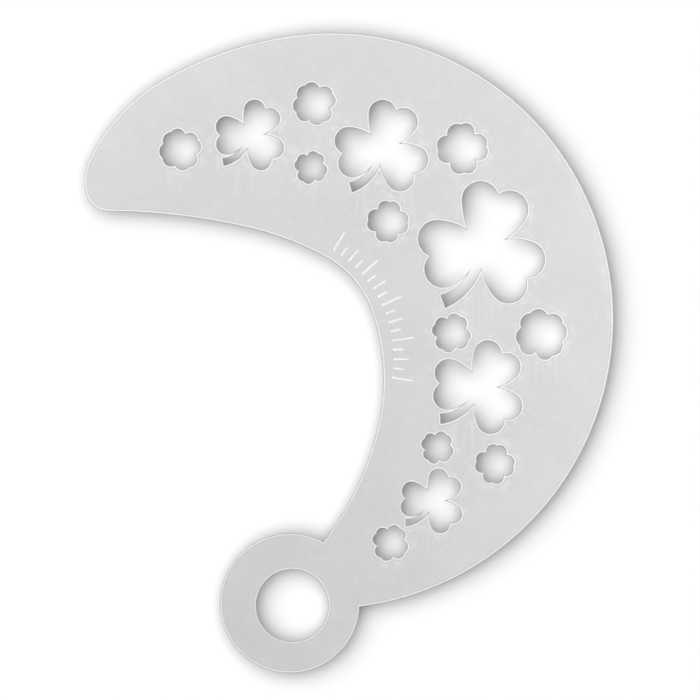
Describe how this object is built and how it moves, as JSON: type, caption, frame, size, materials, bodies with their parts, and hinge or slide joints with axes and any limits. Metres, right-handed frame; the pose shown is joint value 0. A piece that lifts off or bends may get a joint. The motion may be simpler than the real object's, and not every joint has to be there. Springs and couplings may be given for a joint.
{
  "type": "face painting stencil",
  "caption": "Thin translucent plastic stencil: a crescent sheet cut through with shamrock and clover shapes, a finger ring at one end and a shallow engraved row of ticks on its inner curve.",
  "frame": {"origin": "centre of the finger hole, on the sheet's underside", "axes": "+Z is the sheet's normal, along the finger hole's axis; +Y runs from the finger ring to the far side of the crescent, along the longest side"},
  "size_m": [0.1057, 0.128, 0.0005],
  "materials": {
    "film": "satin, light grey, slightly translucent, with a frosted rim along each cut edge"
  },
  "bodies": {
    "root": {"stencil_sheet": "film"}
  },
  "joints": []
}
